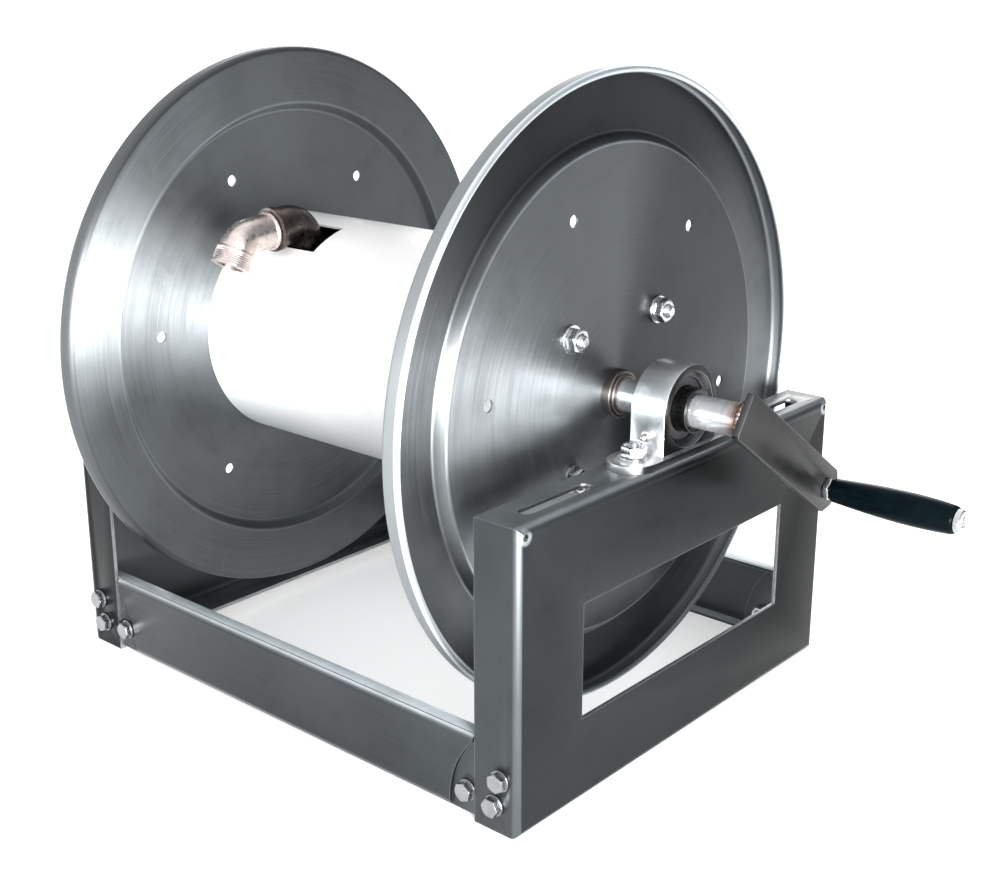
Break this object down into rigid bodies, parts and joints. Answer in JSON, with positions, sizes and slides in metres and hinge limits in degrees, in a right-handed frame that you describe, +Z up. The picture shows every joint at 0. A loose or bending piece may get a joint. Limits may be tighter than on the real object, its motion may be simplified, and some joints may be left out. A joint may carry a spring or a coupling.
{
  "type": "fire hose reel",
  "caption": "Hand-cranked fire hose reel: folded steel frame, two pillow-block bearings, dished discs, white drum, outlet elbow, inlet swivel and crank with a turning grip.",
  "frame": {"origin": "centre of the frame's footprint on the floor, under the middle of the axle's span between the end frames", "axes": "+X along the axle towards the crank, +Y towards the rear rail, away from the side where the outlet spout hangs, +Z up"},
  "size_m": [0.7654, 0.492, 0.5126],
  "materials": {
    "frame_sheet": "satin folded stainless sheet",
    "disc_sheet": "satin spun stainless sheet",
    "plain_steel": "plain bright steel",
    "fasteners": "bright stainless fasteners",
    "bearing_metal": "polished bearing housing",
    "bearing_seal": "black seal",
    "bearing_race": "dark oiled bearing steel",
    "black_screw": "black set screw",
    "brass": "machined brass",
    "drum_paint": "white paint, satin",
    "axle_steel": "ground bright bar",
    "tinted_steel": "stainless, tinted brown by welding",
    "weld": "heat-tinted weld bead",
    "grip_black": "glossy black",
    "rubber": "matt black"
  },
  "bodies": {
    "frame": {"crank_end_frame": "frame_sheet", "swivel_end_frame": "frame_sheet", "front_rail": "frame_sheet", "rear_rail": "frame_sheet", "corner_bolts": "fasteners", "corner_washers": "fasteners", "corner_nuts": "fasteners", "crank_bearing_housing": "bearing_metal", "swivel_bearing_housing": "bearing_metal", "crank_bearing_insert": "bearing_seal", "swivel_bearing_insert": "bearing_seal", "grease_nipples": "brass", "bearing_bolts": "fasteners", "bearing_washers": "fasteners", "bearing_nuts": "fasteners"},
    "reel": {"crank_bearing_race": "bearing_race", "swivel_bearing_race": "bearing_race", "race_set_screws": "black_screw", "crank_side_disc": "disc_sheet", "swivel_side_disc": "disc_sheet", "drum": "drum_paint", "crank_side_hub": "plain_steel", "swivel_side_hub": "plain_steel", "axle": "axle_steel", "tie_rods": "fasteners", "tie_rod_washers": "fasteners", "tie_rod_nuts": "fasteners", "riser_pipe": "tinted_steel", "outlet_elbow": "tinted_steel", "outlet_spout": "tinted_steel", "crank_arm": "frame_sheet", "crank_weld": "weld", "grip_bolt": "fasteners", "grip_nuts": "fasteners", "swivel_stem": "brass"},
    "grip": {"grip": "grip_black"},
    "inlet_swivel": {"swivel_gland": "brass", "swivel_seals": "rubber", "swivel_body": "brass"}
  },
  "joints": [
    {"name": "reel_spin", "type": "hinge", "parent": "frame", "child": "reel", "pos_m": [0, 0, 0.2666], "axis": [1, 0, 0], "continuous": true},
    {"name": "grip_spin", "type": "hinge", "parent": "reel", "child": "grip", "pos_m": [0.355, 0.11482, 0.1865], "axis": [1, 0, 0], "continuous": true},
    {"name": "swivel_spin", "type": "hinge", "parent": "frame", "child": "inlet_swivel", "pos_m": [-0.3, 0, 0.2666], "axis": [1, 0, 0], "continuous": true}
  ]
}
